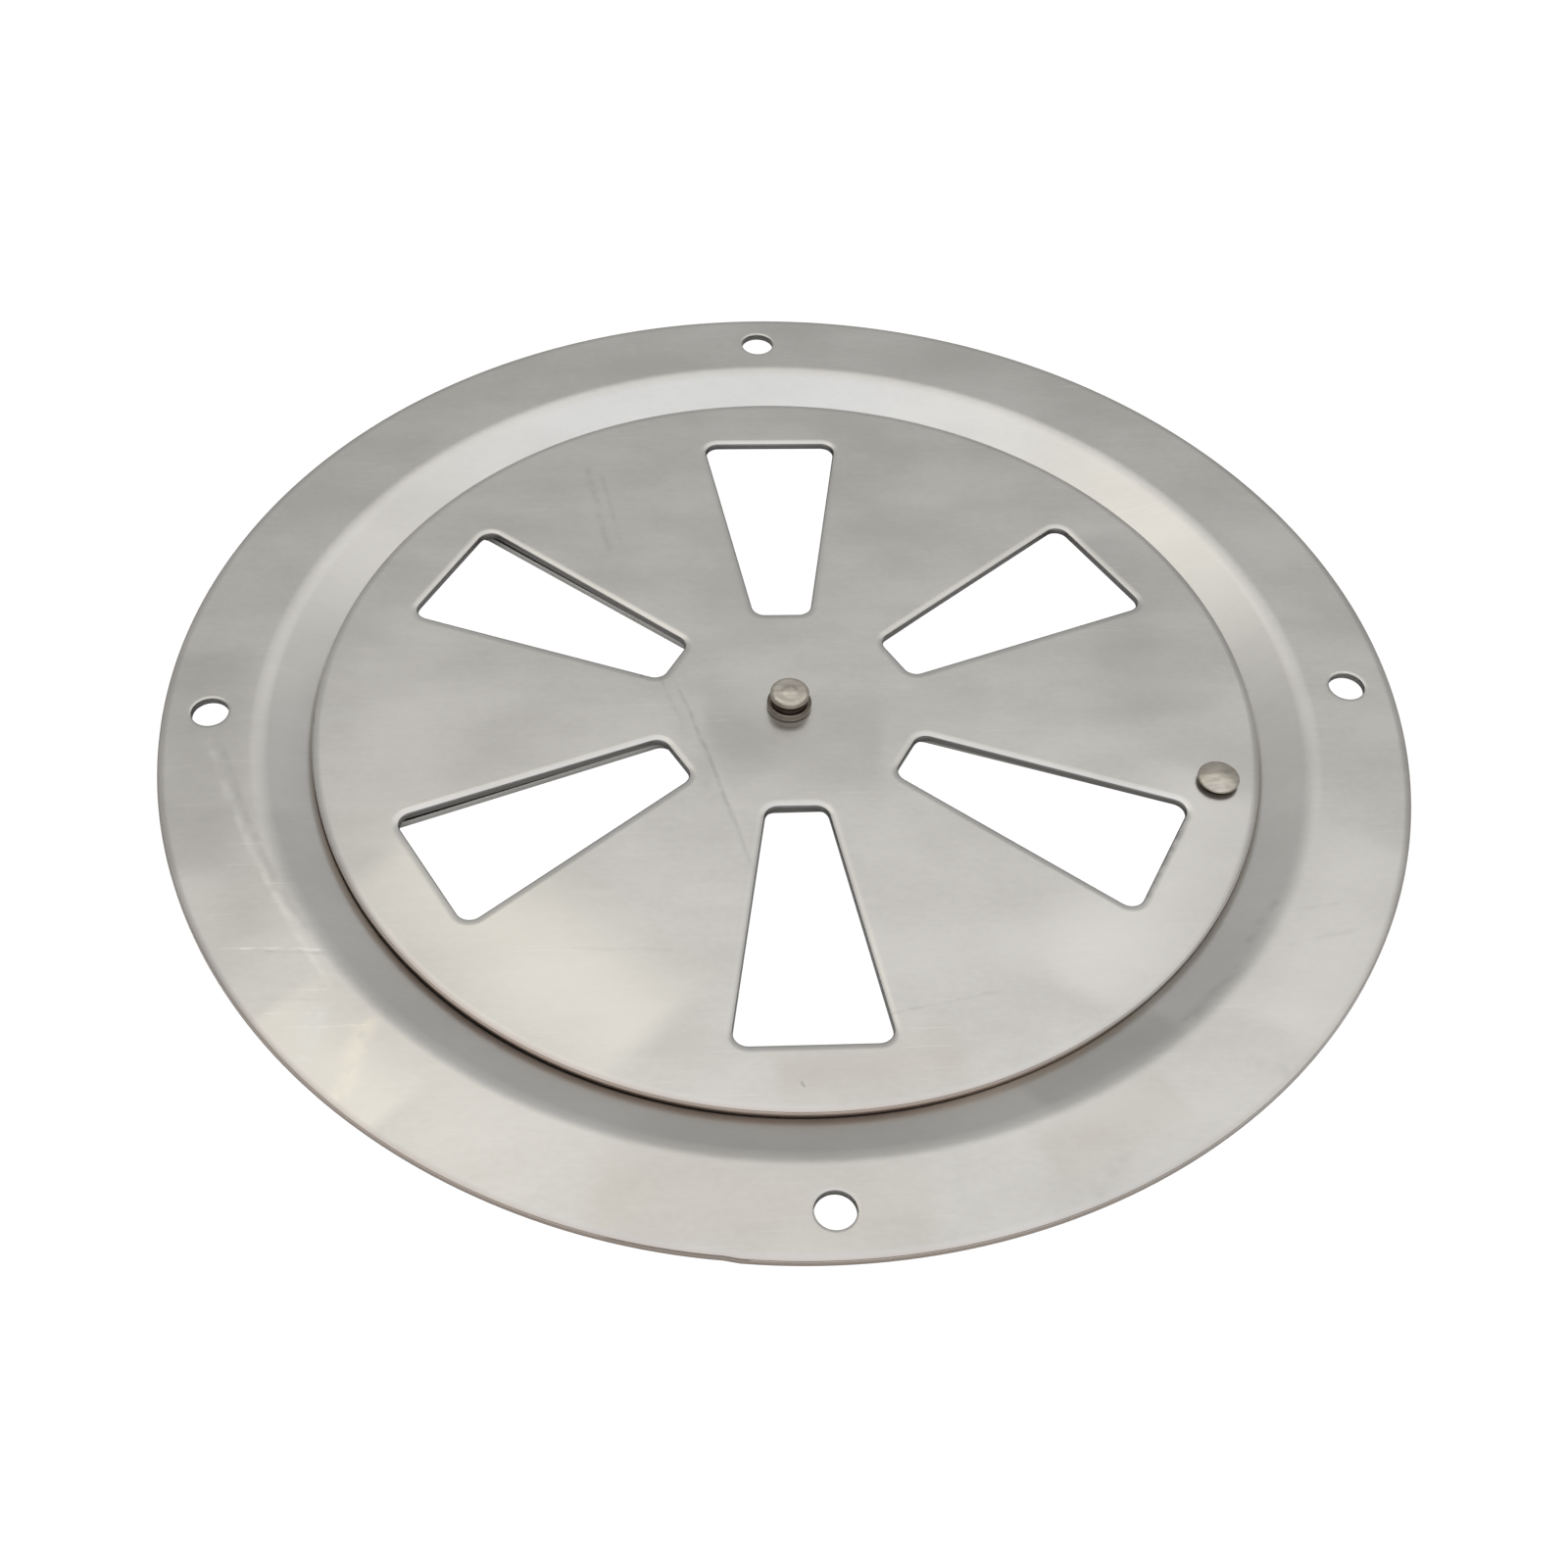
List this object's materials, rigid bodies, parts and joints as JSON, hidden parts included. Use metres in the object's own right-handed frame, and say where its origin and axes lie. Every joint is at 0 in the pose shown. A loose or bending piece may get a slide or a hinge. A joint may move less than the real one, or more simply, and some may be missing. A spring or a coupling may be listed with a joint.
{
  "type": "marine vent",
  "caption": "Round satin stainless boat vent: a flat screw flange, a shallow pan with tapered air slots, and a slotted shutter disc turned by a finger knob to open or shut them.",
  "frame": {"origin": "centre of the screw circle on the flange's back face, which lies on the wall, door or deck", "axes": "+Z out of the wall on the side of the finger knob; the screw holes lie on X and Y"},
  "size_m": [0.127, 0.127, 0.0051],
  "materials": {
    "satin_sheet": "satin, brushed one way",
    "rivet_steel": "turned, dull"
  },
  "bodies": {
    "frame": {"flange_plate": "satin_sheet", "pivot_rivet": "rivet_steel", "spacer_washer": "rivet_steel"},
    "shutter": {"shutter_disc": "satin_sheet", "finger_knob": "rivet_steel"}
  },
  "joints": [
    {"name": "shutter_turn", "type": "hinge", "parent": "frame", "child": "shutter", "pos_m": [0, 0, 0], "axis": [0, 0, 1], "continuous": true}
  ]
}
